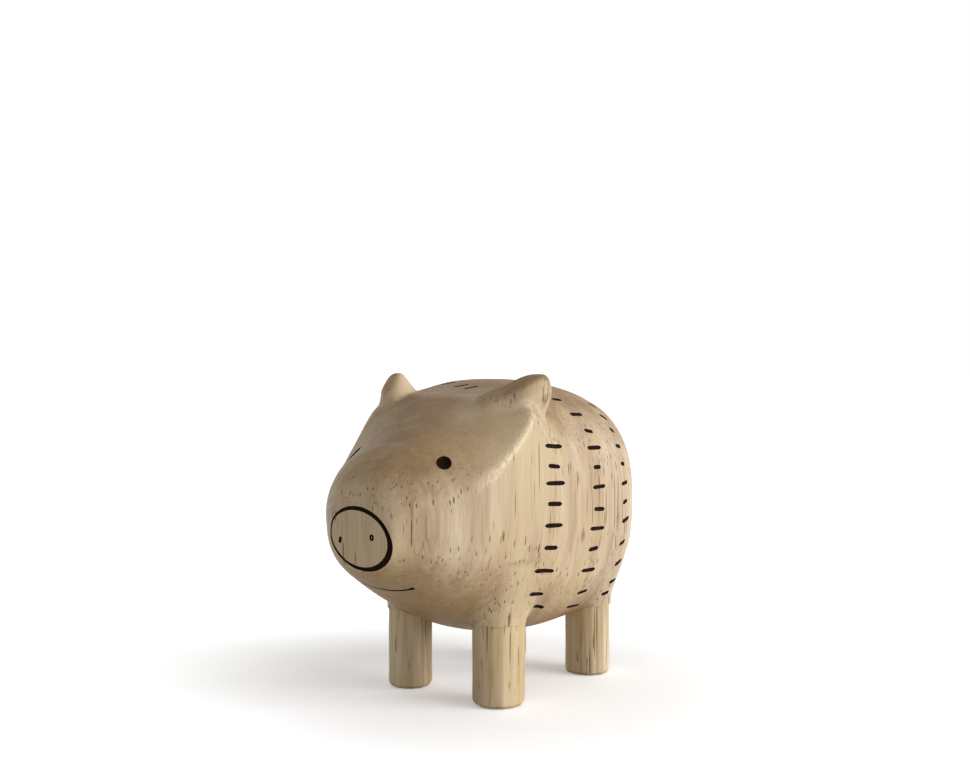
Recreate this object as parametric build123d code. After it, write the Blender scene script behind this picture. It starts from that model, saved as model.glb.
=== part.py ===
from build123d import *
import math
import os

os.makedirs("parts", exist_ok=True)

# A hand-carved wooden pig that stands on four dowel legs. Lengths are in millimetres.
# The snout points along -Y, the left flank along +X, and the feet stand on z = 0.
# The origin is on the floor under the middle of the whole figure, tail included.

# Body block: the overall form, before the forehead is sliced
body_length = 76.4
body_width = 43.8
back_height = 64.5
belly_height = 12.8

# Forehead: one slanting knife cut from the ears down to the snout
brow_edge_drop = 2.8
brow_edge_back = 27.8
bridge_drop = 12.7
bridge_back = 11.0
brow_crown = 5.2
bridge_crown = 16.0
forehead_power = 2.1
forehead_overrun = 12.0

# Ears: two blunt horns left standing at the block's upper corners. The left one is
# broad and the right one slim, and one slanting cut gives both their front faces.
ear_root_drop = 10.5
ear_rise = 11.0
ear_setback = 4.6
ear_length = {"left": 15.2, "right": 11.0}
ear_depth = 12.0
ear_turn = 26.0
ear_face_setback = 3.6
ear_face_pitch = 40.0

# Face, burnt into the flat snout disc and into the forehead
snout_rim = 0.45
snout_ring_stroke = 0.8
burn_depth = 0.5
nostril_diameter = 1.3
nostril_spacing = 8.0
eye_diameter = 3.0
eye_depth = 1.2
eye_spacing = 24.0
eye_back = 10.9

# Legs: whittled dowels, each glued into a drilled blind socket. The seams lie a little
# above the belly's lowest line, where the block is drawn down round each leg.
front_leg_back = 28.1
hind_leg_rump_inset = 16.0
front_leg_flank_inset = 10.3
hind_leg_flank_inset = 10.7
leg_diameter = {"front_left": 10.4, "front_right": 9.0, "hind_left": 9.8, "hind_right": 9.6}
front_seam_rise = 3.6
hind_seam_rise = 2.4
front_socket_depth = 8.6
hind_socket_depth = 12.8
facets = 14
foot_chamfer = 0.9
tenon_chamfer = 0.6
glue_film = 0.1
root_margin = 0.25
root_spread = 1.3
root_rise = 9.0

# Tail: a small bent peg in a hole on the rump
tail_drop = 18.5
tail_diameter = 3.4
tail_tip_diameter = 2.2
tail_tenon = 5.0
tail_bend_radius = 5.0
tail_bend = 55.0

# The whole figure's length, so that y counts from the middle between snout and tail tip
tail_reach = tail_bend_radius * math.sin(math.radians(tail_bend)) + tail_tip_diameter / 2
figure_length = body_length + tail_reach
snout_y = -figure_length / 2

# Everything on the trunk is placed between the belly's lowest line and the back
trunk_height = back_height - belly_height
tail_height = back_height - tail_drop

# Cross sections of the block, from the snout disc to the rump: along as a share of its
# length, half width as a share of half its width, and top, widest level and belly as
# shares of the way from belly to back. The last two numbers say how square the upper and
# the lower half are, where 2 is an ellipse.
section_shares = [
    (0.000, 0.352, 0.550, 0.432, 0.311, 2.2, 2.1),
    (0.018, 0.425, 0.631, 0.437, 0.289, 2.4, 2.1),
    (0.047, 0.535, 0.702, 0.445, 0.261, 2.8, 2.1),
    (0.113, 0.718, 0.801, 0.465, 0.202, 4.2, 2.1),
    (0.192, 0.860, 0.895, 0.497, 0.140, 6.5, 2.2),
    (0.271, 0.934, 0.947, 0.532, 0.086, 8.0, 2.3),
    (0.350, 0.984, 0.954, 0.547, 0.042, 7.6, 2.4),
    (0.449, 1.000, 0.964, 0.541, 0.010, 3.3, 2.5),
    (0.547, 1.000, 1.000, 0.525, 0.000, 2.25, 2.7),
    (0.653, 0.988, 0.995, 0.510, 0.000, 2.1, 2.7),
    (0.745, 0.960, 0.964, 0.494, 0.006, 2.1, 2.7),
    (0.824, 0.909, 0.930, 0.482, 0.026, 2.3, 2.7),
    (0.889, 0.812, 0.886, 0.475, 0.063, 2.5, 2.7),
    (0.942, 0.686, 0.824, 0.470, 0.125, 2.5, 2.6),
    (0.977, 0.507, 0.715, 0.467, 0.218, 2.2, 2.4),
    (0.995, 0.310, 0.619, 0.466, 0.315, 2.0, 2.1),
    (1.000, 0.160, 0.545, 0.466, 0.386, 2.0, 2.0),
]
section_points = 28

# Level ellipses through each ear, from its root to its tip: level as a share of the ear's
# rise, reach as a share of the body's half width, place as a share of the setback behind
# the brow edge, and length and depth as shares of the ear's own.
ear_shares = {
    "left": [
        (0.000, 0.616, 0.283, 1.000, 1.000),
        (0.700, 0.658, 0.609, 0.908, 0.583),
        (0.845, 0.758, 0.783, 0.566, 0.433),
        (1.000, 0.813, 0.900, 0.289, 0.283),
    ],
    "right": [
        (0.000, 0.753, 0.500, 1.000, 0.917),
        (0.690, 0.826, 0.783, 0.627, 0.558),
        (0.845, 0.854, 0.913, 0.418, 0.375),
        (1.000, 0.868, 1.000, 0.218, 0.200),
    ],
}
ear_rounding_share = 0.42
brow_width_share = 1.10
bridge_width_share = 0.886
section_points = 28


def back(distance):
    """The y of a place this far behind the snout disc."""
    return snout_y + distance


def level(share):
    """The height at this share of the way from the belly's lowest line to the back."""
    return belly_height + share * trunk_height


def lerp(near, far, share):
    """The value at this share of the way from near to far."""
    return near + (far - near) * share


def squared_radius(angle, half_width, half_height, power):
    """Distance from the centre to a superellipse in the direction of the angle."""
    across = abs(math.cos(angle)) / half_width
    along = abs(math.sin(angle)) / half_height
    return (across**power + along**power) ** (-1 / power)


def block_section(along, half, top, widest, belly, upper_power, lower_power):
    """One cross section of the block, standing across its length."""
    half_width = half * body_width / 2
    centre = level(widest)
    points = []
    for step in range(section_points):
        angle = 2 * math.pi * step / section_points
        upper = math.sin(angle) >= 0
        half_height = level(top) - centre if upper else centre - level(belly)
        power = upper_power if upper else lower_power
        reach = squared_radius(angle, half_width, half_height, power)
        height = centre + reach * math.sin(angle)
        points.append((reach * math.cos(angle), back(along * body_length), height))
    return Face(Wire(Spline(*points, periodic=True)))


def block():
    """The rounded block: a loft through all the cross sections."""
    return loft([block_section(*shares) for shares in section_shares])


def forehead_form(distance):
    """Half width, crown and top of the forehead cut, this far behind the snout disc."""
    share = (distance - bridge_back) / (brow_edge_back - bridge_back)
    half_width = lerp(bridge_width_share, brow_width_share, share) * body_width / 2
    crown = lerp(bridge_crown, brow_crown, share)
    top = back_height - lerp(bridge_drop, brow_edge_drop, share)
    return half_width, crown, top


def forehead_height(across, distance):
    """The forehead's height at a place: it falls from the top to the sides by the crown."""
    half_width, crown, top = forehead_form(distance)
    share = abs(across) / half_width
    return top - crown * (1 - (1 - share**forehead_power) ** (1 / forehead_power))


def forehead_profile(distance):
    """The forehead's outline this far behind the snout disc, from one side to the other."""
    half_width, crown, top = forehead_form(distance)
    steps = 12
    points = []
    for step in range(steps + 1):
        slope = math.pi * (1 / 2 - step / steps)
        reach = half_width * math.copysign(abs(math.sin(slope)) ** (2 / forehead_power), slope)
        points.append(Vector(reach, back(distance), forehead_height(reach, distance)))
    stations = [step / steps for step in range(steps + 1)]
    return Edge.make_spline(points, parameters=stations)


def forehead_waste():
    """What the slanting cut takes off: all that stands above a ruled surface."""
    near = forehead_profile(bridge_back - forehead_overrun)
    far = forehead_profile(brow_edge_back + forehead_overrun)
    return extrude(Face.make_surface_from_curves(near, far), trunk_height, dir=(0, 0, 1))


def ear(name, side):
    """One blunt horn: a loft from its root to its tip, with a round top and a flat face."""
    turn = math.radians(ear_turn)
    along = (side * math.cos(turn), math.sin(turn), 0)
    levels = []
    for rise, reach, setback, length, depth in ear_shares[name]:
        place = (
            side * reach * body_width / 2,
            back(brow_edge_back + setback * ear_setback),
            back_height - ear_root_drop + rise * ear_rise,
        )
        outline = Ellipse(length * ear_length[name] / 2, depth * ear_depth / 2)
        levels.append(Plane(place, x_dir=along, z_dir=(0, 0, 1)) * outline)
    horn = loft(levels)
    horn = fillet(horn.edges().group_by(Axis.Z)[-1], ear_rounding_share * depth * ear_depth)
    face = Pos(0, back(brow_edge_back + ear_face_setback), place[2]) * Rot(ear_face_pitch, 0, 0)
    return horn - face * Pos(0, 0, body_width / 2) * Box(2 * body_width, 2 * body_width, body_width)


def leg_places():
    """The four legs: name, centre across and along, seam height and the socket's top."""
    places = []
    hind_leg_back = body_length - hind_leg_rump_inset
    for end, distance, inset, rise, depth in (
        ("front", front_leg_back, front_leg_flank_inset, front_seam_rise, front_socket_depth),
        ("hind", hind_leg_back, hind_leg_flank_inset, hind_seam_rise, hind_socket_depth),
    ):
        seam = belly_height + rise
        across = body_width / 2 - inset
        for name, side in (("left", 1), ("right", -1)):
            places.append((f"{end}_{name}", side * across, back(distance), seam, seam + depth))
    return places


def leg_root(name, across, along, seam, top):
    """The block's wood drawn down round a leg, as a cone that ends at the seam."""
    radius = leg_diameter[name] / 2 + root_margin
    cone = Cone(radius, radius + root_spread, root_rise)
    return Pos(across, along, seam + root_rise / 2) * cone


def leg(name, across, along, seam, top):
    """A dowel whittled to flat knife facets below the seam, with a round tenon above."""
    radius = leg_diameter[name] / 2
    shaft = extrude(RegularPolygon(radius, facets), seam)
    shaft = chamfer(shaft.edges().group_by(Axis.Z)[0], foot_chamfer)
    length = top - glue_film - seam
    tenon = Pos(0, 0, seam + length / 2) * Cylinder(radius, length)
    tenon = chamfer(tenon.edges().group_by(Axis.Z)[-1], tenon_chamfer)
    return Pos(across, along, 0) * (shaft + tenon)


def leg_socket(name, across, along, seam, top):
    """The blind hole that a leg is glued into, drilled from under the belly."""
    radius = leg_diameter[name] / 2 + glue_film
    height = top - belly_height / 2
    return Pos(across, along, top - height / 2) * Cylinder(radius, height)


def tail():
    """A tapered peg bent upwards, with a round tip."""
    sections = []
    steps = 5
    rim = back(body_length)
    radii = (tail_diameter / 2, tail_tip_diameter / 2)
    for step in range(steps + 1):
        share = step / steps
        angle = math.radians(tail_bend * share)
        place = Vector(
            0,
            rim + tail_bend_radius * math.sin(angle),
            tail_height + tail_bend_radius * (1 - math.cos(angle)),
        )
        heading = Vector(0, math.cos(angle), math.sin(angle))
        plane = Plane(place, x_dir=(1, 0, 0), z_dir=heading)
        sections.append(plane * Circle(lerp(radii[0], radii[1], share)))
    bend = loft(sections)
    tip = Pos(place) * Sphere(radii[1])
    tenon = Pos(0, rim - tail_tenon / 2, tail_height) * Rot(90, 0, 0) * Cylinder(radii[0], tail_tenon)
    return bend + tip + tenon


def tail_hole():
    """The drilled hole in the rump that holds the tail."""
    depth = tail_tenon + glue_film
    place = Pos(0, back(body_length), tail_height) * Rot(90, 0, 0)
    return place * Cylinder(tail_diameter / 2 + glue_film, 2 * depth)


def eye_hole(side):
    """A burnt eye: a shallow round hole, square to the forehead where it stands."""
    across = side * eye_spacing / 2
    height = forehead_height(across, eye_back)
    slope_across = forehead_height(across + eye_depth, eye_back) - height
    slope_back = forehead_height(across, eye_back + eye_depth) - height
    place = Plane((across, back(eye_back), height), z_dir=(-slope_across, -slope_back, eye_depth))
    return place * Cylinder(eye_diameter / 2, 2 * eye_depth)


def snout_place(across):
    """A place on the snout disc, level with its middle and this far across it."""
    middle = (level(section_shares[0][2]) + level(section_shares[0][4])) / 2
    return Plane((across, snout_y, middle), x_dir=(1, 0, 0), z_dir=(0, -1, 0))


def snout_ring():
    """The burnt ring round the flat snout disc, a groove just inside its rim."""
    half_width = section_shares[0][1] * body_width / 2 - snout_rim
    half_height = (level(section_shares[0][2]) - level(section_shares[0][4])) / 2 - snout_rim
    outer = Ellipse(half_width, half_height)
    inner = Ellipse(half_width - snout_ring_stroke, half_height - snout_ring_stroke)
    return extrude(snout_place(0) * (outer - inner), burn_depth, both=True)


def nostril(side):
    """A small round hole burnt into the snout disc."""
    return snout_place(side * nostril_spacing / 2) * Cylinder(nostril_diameter / 2, 2 * burn_depth)


def body():
    """The carved block with its forehead, ears, sockets, snout ring and face holes."""
    form = block() - forehead_waste() + ear("left", 1) + ear("right", -1)
    for place in leg_places():
        form += leg_root(*place)
    for place in leg_places():
        form -= leg_socket(*place)
    form -= tail_hole()
    form -= snout_ring()
    for side in (1, -1):
        form -= nostril(side)
        form -= eye_hole(side)
    return form


export_step(body(), "parts/body.step")
for place in leg_places():
    export_step(leg(*place), f"parts/leg_{place[0]}.step")
export_step(tail(), "parts/tail.step")
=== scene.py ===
# %% [markdown]
# # A carved wooden pig, dressed in Blender
# The pig is a palm-sized ornament, carved from one block of pale open-grained hardwood.
# Four whittled dowels are glued into its belly, a bent peg is its tail, and the eyes,
# snout ring, mouth and rows of dashes are burnt in with a hot tip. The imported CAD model
# gives the sizes and places that all the rest follows. This script adds the soft carved
# surface, the burnt grooves and the wood.

import bpy
import numpy as np
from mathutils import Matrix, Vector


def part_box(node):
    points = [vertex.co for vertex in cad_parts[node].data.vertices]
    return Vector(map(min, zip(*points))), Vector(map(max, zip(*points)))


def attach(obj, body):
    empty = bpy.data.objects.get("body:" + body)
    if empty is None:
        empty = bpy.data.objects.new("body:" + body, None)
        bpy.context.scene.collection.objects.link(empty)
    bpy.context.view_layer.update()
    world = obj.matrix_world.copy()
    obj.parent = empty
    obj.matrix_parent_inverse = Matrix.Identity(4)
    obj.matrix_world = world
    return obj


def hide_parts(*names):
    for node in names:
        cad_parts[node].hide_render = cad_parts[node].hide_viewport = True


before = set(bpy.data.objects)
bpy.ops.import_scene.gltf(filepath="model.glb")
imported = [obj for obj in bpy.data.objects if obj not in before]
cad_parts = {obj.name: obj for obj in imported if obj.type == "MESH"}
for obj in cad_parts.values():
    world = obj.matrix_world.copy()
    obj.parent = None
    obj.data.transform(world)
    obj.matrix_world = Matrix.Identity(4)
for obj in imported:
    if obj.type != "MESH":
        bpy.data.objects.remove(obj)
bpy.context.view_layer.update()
print("nodes:", sorted(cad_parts))

# %% [markdown]
# ## Units
# Blender works in metres here, but a carver thinks in millimetres. All shapes below are
# worked out in millimetres and made smaller by one number when they become a mesh.

# %% Millimetres, and the boxes of the CAD nodes
MM = 0.001


def box_mm(node):
    """Lowest and highest corner of a CAD node, in millimetres."""
    low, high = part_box(node)
    return np.array(low) / MM, np.array(high) / MM


BODY_LOW, BODY_HIGH = box_mm("body")
SNOUT = BODY_LOW[1]
LENGTH = BODY_HIGH[1] - SNOUT
WIDTH = BODY_HIGH[0] - BODY_LOW[0]
BELLY = BODY_LOW[2]
EAR_TIP = BODY_HIGH[2]
EAR_OVER_BACK = 0.5
BACK = EAR_TIP - EAR_OVER_BACK
print(f"block {LENGTH:.1f} long, {WIDTH:.1f} wide, belly at {BELLY:.1f}, back at {BACK:.1f} mm")


# %% [markdown]
# ## The carved block as a field
# The block has soft and crisp places side by side: round flanks, a sliced forehead with a
# worn ridge, two ears that grow out of it, and a flat snout. It could be sculpted by hand.
# Here it is worked out instead, as a field: a function that is negative inside the wood,
# zero on its surface and positive outside. Two forms join with a smooth minimum and are cut
# with a smooth maximum, whose radius says how worn the edge between them is.

# %% Joining forms
def smooth_max(a, b, radius):
    """The larger of a and b, rounded over about the radius where they are equal:
    b + (a - b) m + radius m (1 - m) / 2, where m goes from 0 to 1 as a passes b."""
    mix = np.clip(0.5 + 0.5 * (a - b) / radius, 0, 1)
    return b + (a - b) * mix + radius * mix * (1 - mix) * 0.5


def smooth_min(a, b, radius):
    """The smaller of a and b, rounded in the same way."""
    return -smooth_max(-a, -b, radius)


def ramp(value, start, run):
    """0 up to the start, 1 from a run past it, and straight between. With a negative run it
    is 1 on the other side."""
    return np.clip((value - start) / run, 0, 1)


print("a radius of 2 mm takes", smooth_max(0.0, 0.0, 2.0), "mm off the edge of a cut")


# %% [markdown]
# A carver checks a shape at a few stations and fairs the wood between them. Here a table
# says what the shape is at each station, and smooth cubics lead from one row to the next.

# %% Between the rows of a table
def between_rows(rows, at):
    """Values between the rows of a table, by cubics whose slope at a row is the slope
    between its neighbours. The first column says where each row stands."""
    knots, values = rows[:, 0], rows[:, 1:]
    slopes = np.gradient(values, knots, axis=0)
    at = np.clip(at, knots[0], knots[-1])
    left = np.clip(np.searchsorted(knots, at) - 1, 0, len(knots) - 2)
    step = knots[left + 1] - knots[left]
    t = ((at - knots[left]) / step)[..., None]
    step = step[..., None]
    near, far = values[left], values[left + 1]
    level = (1 + 2 * t) * (1 - t) ** 2 * near + t**2 * (3 - 2 * t) * far
    return level + step * t * (1 - t) * ((1 - t) * slopes[left] - t * slopes[left + 1])


hump = np.array([(0.0, 0.0), (1.0, 1.0), (2.0, 0.0)])
print("a hump 1 high is", between_rows(hump, np.array([0.5, 1.5]))[:, 0], "high on its two slopes")


# %% [markdown]
# The block's cross sections are superellipses, |x/a|^p + |z/h|^p = 1, where p = 2 is an
# ellipse and a large p is nearly square. The table gives them from the snout to the rump as
# shares of the block's size, like the ribs of a boat.

# %% The block's ribs
# along, half width, top, widest level, belly, squareness above and below
RIBS = np.array([
    (0.000, 0.352, 0.550, 0.432, 0.311, 2.2, 2.1),
    (0.018, 0.425, 0.631, 0.437, 0.289, 2.4, 2.1),
    (0.047, 0.535, 0.702, 0.445, 0.261, 2.8, 2.1),
    (0.113, 0.718, 0.801, 0.465, 0.202, 4.2, 2.1),
    (0.192, 0.860, 0.895, 0.497, 0.134, 6.5, 2.2),
    (0.271, 0.934, 0.925, 0.532, 0.074, 8.0, 2.3),
    (0.350, 0.984, 0.922, 0.547, 0.024, 7.6, 2.4),
    (0.449, 1.000, 0.946, 0.541, -0.011, 4.2, 2.5),
    (0.547, 1.000, 0.983, 0.525, -0.021, 3.1, 2.7),
    (0.653, 0.988, 0.982, 0.510, -0.020, 2.75, 2.7),
    (0.745, 0.960, 0.958, 0.494, -0.009, 2.7, 2.7),
    (0.824, 0.909, 0.930, 0.482, 0.026, 2.4, 2.7),
    (0.889, 0.812, 0.886, 0.475, 0.063, 2.5, 2.7),
    (0.942, 0.686, 0.824, 0.470, 0.125, 2.5, 2.6),
    (0.977, 0.507, 0.715, 0.467, 0.218, 2.2, 2.4),
    (0.995, 0.310, 0.619, 0.466, 0.315, 2.0, 2.1),
    (1.000, 0.160, 0.545, 0.466, 0.386, 2.0, 2.0),
])
SNOUT_LEAN, SNOUT_LEAN_SHARE = 0.9, 0.16
BACK_LEAN = 3.5
BACK_LEAN_STARTS, BACK_LEAN_GROWS = 0.33, 0.12
BACK_LEAN_ENDS, BACK_LEAN_FADES = 0.86, -0.25
RUMP_ROUNDING = 3.0


def block(x, y, z):
    """((|x|/a)^p + (|z - c|/h)^p)^(1/p) - 1, times the smaller of a and h, which is about the
    distance to the rib at y. As the carver left it, the snout leans a little to the pig's
    left. The back leans to its right, the more the higher up, and is straight again at the
    neck and the rump."""
    share = (y - SNOUT) / LENGTH
    half, top, widest, belly, upper, lower = np.moveaxis(between_rows(RIBS, share), -1, 0)
    rise = BACK - BELLY
    centre = BELLY + widest * rise
    above = z >= centre
    height = np.where(above, top - widest, widest - belly) * rise
    power = np.where(above, upper, lower)
    half = half * WIDTH / 2
    raised = ramp(z, centre, height) * ramp(share, BACK_LEAN_STARTS, BACK_LEAN_GROWS)
    to_right = BACK_LEAN * raised**2 * ramp(share, BACK_LEAN_ENDS, BACK_LEAN_FADES)
    aside = x - SNOUT_LEAN * np.clip(1 - share / SNOUT_LEAN_SHARE, 0, 1) ** 2 + to_right
    radius = (np.abs(aside) / half) ** power + (np.abs(z - centre) / height) ** power
    distance = (radius ** (1 / power) - 1) * np.minimum(half, height)
    return smooth_max(distance, y - SNOUT - LENGTH, RUMP_ROUNDING)


print(len(RIBS), "ribs, the widest", RIBS[RIBS[:, 1].argmax(), 0], "of the length behind the snout")


# %% [markdown]
# One long knife cut slices the forehead from the brow down to the snout. Along the pig it is
# straight. Across, it is nearly flat in the middle and bends down towards the sides, more at
# the snout than at the brow, where it meets the flanks in a ridge.

# %% The forehead cut
BRIDGE_AT, BROW_AT = 11.0, 27.8
BRIDGE_BELOW_BACK, BRIDGE_TO_BROW = 12.7, 8.7
BRIDGE_BEND, BEND_LOST, LEAST_BEND, BEND_POWER = 0.0088, 0.0074, 0.0006, 2.4
COSINE_OF_CUT = 0.78


def forehead(x, y, z):
    """The height above z = top - bend |x|^2.4, where top and bend are straight lines in y,
    times the cosine of its usual slope. Positive above it, where the wood is cut away."""
    share = (y - SNOUT - BRIDGE_AT) / (BROW_AT - BRIDGE_AT)
    top = BACK - BRIDGE_BELOW_BACK + BRIDGE_TO_BROW * share
    bend = np.maximum(BRIDGE_BEND - BEND_LOST * share, LEAST_BEND)
    return (z - top + bend * np.abs(x) ** BEND_POWER) * COSINE_OF_CUT


slope = np.degrees(np.arctan2(BRIDGE_TO_BROW, BROW_AT - BRIDGE_AT))
print(f"the forehead's cut rises at {slope:.0f} degrees along the middle")


# %% [markdown]
# The ears are two blunt horns at the block's upper corners, not quite a pair: the left one is
# broad and runs into the forehead, the right one is slim. Each is a stack of level ellipses,
# with a slanting flat front and a rounded tip.

# %% The ears
# height, distance from the middle, distance behind the snout, half length, half depth
EARS = {
    1: np.array([
        (54.0, 13.0, 29.6, 5.6, 4.6),
        (61.5, 14.5, 30.7, 6.6, 3.5),
        (63.3, 16.6, 31.4, 4.3, 2.6),
        (65.0, 17.8, 31.9, 2.2, 1.7),
    ]),
    -1: np.array([
        (54.0, 14.5, 30.1, 4.2, 4.2),
        (61.6, 18.0, 31.4, 3.7, 3.35),
        (63.3, 18.6, 32.0, 2.7, 2.4),
        (65.0, 19.0, 32.4, 1.2, 1.2),
    ]),
}
EAR_TURN = np.radians(26)
EAR_PITCH = np.radians(40)
EAR_FACE_AT = 31.4
EAR_TIP_EDGE, EAR_FACE_EDGE = 1.4, 1.2


def ear(x, y, z, side):
    """sqrt((along/l)^2 + (across/d)^2) - 1 at each level, times the smaller of l and d, then
    cut by the tip's level, by the lowest row's level and by a plane that leans back."""
    reach, back, length, depth = np.moveaxis(between_rows(EARS[side], z), -1, 0)
    dx, dy = side * x - reach, y - SNOUT - back
    along = dx * np.cos(EAR_TURN) + dy * np.sin(EAR_TURN)
    across = dy * np.cos(EAR_TURN) - dx * np.sin(EAR_TURN)
    distance = (np.hypot(along / length, across / depth) - 1) * np.minimum(length, depth)
    distance = smooth_max(distance, z - EAR_TIP, EAR_TIP_EDGE)
    distance = np.maximum(distance, EARS[side][0, 0] - z)
    face = (z - EAR_TIP) * np.cos(EAR_PITCH) - (y - SNOUT - EAR_FACE_AT) * np.sin(EAR_PITCH)
    return smooth_max(distance, face, EAR_FACE_EDGE)


for side, levels in EARS.items():
    print("left" if side > 0 else "right", f"ear: {2 * levels[:, 3].max():.1f} mm broad")

# %% [markdown]
# Now the forms are put together. Each radius says how worn an edge is: the forehead's is
# crisp at the brow and fades away over the snout, and the ears grow out of the block in a
# soft hollow.

# %% The carved block
BROW_EDGE, SNOUT_EDGE_MORE = 0.9, 5.5
EDGE_FADES_AT, EDGE_FADES_OVER = 18, -11
EAR_HOLLOW, DISC_EDGE = 1.6, 0.7


def carved(x, y, z):
    """The ribs, less what the forehead cut takes, plus two ears, less what the flat snout
    takes."""
    edge = BROW_EDGE + SNOUT_EDGE_MORE * ramp(y, SNOUT + EDGE_FADES_AT, EDGE_FADES_OVER)
    distance = smooth_max(block(x, y, z), forehead(x, y, z), edge)
    for side in (1, -1):
        distance = smooth_min(distance, ear(x, y, z, side), EAR_HOLLOW)
    return smooth_max(distance, SNOUT - y, DISC_EDGE)


core = np.array([(BELLY + BACK) / 2])
print(f"the block's middle lies about {-carved(0 * core, 0 * core, core)[0]:.0f} mm deep in the wood")

# %% [markdown]
# ## The roots of the legs
# The wood is drawn down round each leg, so that the belly flows into it in a hollow curve.
# In the field, that is a slender cone joined with a wide radius.

# %% The legs' places
SEAM_OVER_BELLY = {
    "leg_front_left": 3.6, "leg_front_right": 3.6, "leg_hind_left": 2.4, "leg_hind_right": 2.4,
}
LEGS = {}
for name, over in SEAM_OVER_BELLY.items():
    low, high = box_mm(name)
    LEGS[name] = {
        "at": (low + high)[:2] / 2,
        "radius": (high - low)[0] / 2,
        "seam": BELLY + over,
        "top": high[2],
    }
    print(name, {key: np.round(size, 2).tolist() for key, size in LEGS[name].items()})

# %% The roots that they stand in
ROOT_SPREAD, ROOT_RISE, ROOT_FILLET = 1.3, 9.0, 4.0
ROOT_OVER_LEG, ROOT_OVER_SEAM = 0.15, 0.3


def root(x, y, z, place):
    """The distance from the leg's axis less a radius that grows with height, between the
    seam and a level inside the block."""
    spread = ROOT_SPREAD * ramp(z, place["seam"], ROOT_RISE)
    across, along = place["at"]
    distance = np.hypot(x - across, y - along) - place["radius"] - ROOT_OVER_LEG - spread
    middle = place["seam"] + ROOT_OVER_SEAM + ROOT_RISE / 2
    return np.maximum(distance, np.abs(z - middle) - ROOT_RISE / 2)


def whole(x, y, z):
    """The carved block with its four roots."""
    distance = carved(x, y, z)
    for place in LEGS.values():
        distance = smooth_min(distance, root(x, y, z, place), ROOT_FILLET)
    return distance


print(f"roots {ROOT_RISE} mm tall, {ROOT_SPREAD} mm wider at the top than at the seam")

# %% [markdown]
# ## From the field to a mesh
# A field could be turned into a mesh by small cubes, but those leave steps on crisp edges.
# Here the surface is found along straight rays that start inside the wood: halving finds
# the place on each ray where the field is zero. It is done on whole arrays at once.

# %% Finding the surface
HALVINGS = 26


def surface(start, heading, reach):
    """The points start + t heading where the field is zero, t between 0 and reach, found by
    halving. The start lies inside the wood."""
    low = np.zeros(heading.shape[:-1])
    high = np.zeros(heading.shape[:-1]) + reach
    for _ in range(HALVINGS):
        middle = (low + high) / 2
        point = start + heading * middle[..., None]
        inside = whole(point[..., 0], point[..., 1], point[..., 2]) < 0
        low = np.where(inside, middle, low)
        high = np.where(inside, high, middle)
    return start + heading * low[..., None]


def onto_surface(points, inside, reach):
    """The points, moved along the rays from a place inside the wood until they lie on the
    surface."""
    heading = points - inside
    return surface(inside, heading / np.linalg.norm(heading, axis=-1, keepdims=True), reach)


def outward(point):
    """The surface's outward direction: the field's steepest rise, by small differences."""
    x, y, z = np.moveaxis(point, -1, 0)
    step = 0.05
    rise = np.stack([
        whole(x + step, y, z) - whole(x - step, y, z),
        whole(x, y + step, z) - whole(x, y - step, z),
        whole(x, y, z + step) - whole(x, y, z - step),
    ], -1)
    return rise / np.linalg.norm(rise, axis=-1, keepdims=True)


print(f"halving {HALVINGS} times leaves {60 / 2**HALVINGS:.0e} mm of a ray of 60 mm open")


# %% [markdown]
# The block, the pegs and most of the grooves are tubes: rows of points carried along a path,
# each row closed round, with a face over each end. One function makes the mesh of any number
# of them. A Boolean needs solids that face outwards, so that is seen to as well.

# %% Meshes from grids
def grid_faces(rows, columns):
    """The quads of a grid whose columns close round, and one many-sided face for each end."""
    first = np.arange(rows * columns).reshape(rows, columns)
    turned = np.roll(first, -1, axis=1)
    quads = np.stack([first[:-1], turned[:-1], turned[1:], first[1:]], -1).reshape(-1, 4)
    return quads, np.stack([first[0, ::-1], first[-1]])


def facing_out(tubes):
    """The tubes, with the columns of each one that is inside out turned the other way. The
    sum over a tube's quads of the cross product of their diagonals, times the way from the
    tube's middle to the quad, is negative for such a tube."""
    turned = np.roll(tubes, -1, axis=2)
    quad = np.cross(turned[:, 1:] - tubes[:, :-1], tubes[:, 1:] - turned[:, :-1])
    away = tubes[:, :-1] - tubes.mean((1, 2), keepdims=True)
    inside_out = (quad * away).sum((1, 2, 3)) < 0
    return np.where(inside_out[:, None, None, None], tubes[:, :, ::-1], tubes)


def dressed(name, points, faces, materials, worn):
    """An object with the mesh of these points, in millimetres, and faces. The faces wear the
    material of that number in the list."""
    mesh = bpy.data.meshes.new(name)
    mesh.from_pydata((points.reshape(-1, 3) * MM).tolist(), [], faces)
    for material in materials:
        mesh.materials.append(material)
    mesh.polygons.foreach_set("material_index", np.full(len(mesh.polygons), worn, np.int32))
    piece = bpy.data.objects.new(name, mesh)
    bpy.context.scene.collection.objects.link(piece)
    return piece


def tube_mesh(name, tubes, materials=(), worn=0):
    """One mesh from tubes, an array of tube, row, column and x, y, z."""
    tubes = facing_out(tubes)
    count, rows, columns, _ = tubes.shape
    quads, ends = grid_faces(rows, columns)
    faces = []
    for first in range(0, count * rows * columns, rows * columns):
        faces += (quads + first).tolist() + (ends + first).tolist()
    return dressed(name, tubes, faces, materials, worn)


print("a square bar of 2 rows has", sum(len(faces) for faces in grid_faces(2, 4)), "faces")


# %% [markdown]
# Wood is added and taken away with Booleans. The solver for closed solids is the quick one,
# and each result is made real at once, so that the next cut starts from a plain mesh.

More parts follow.
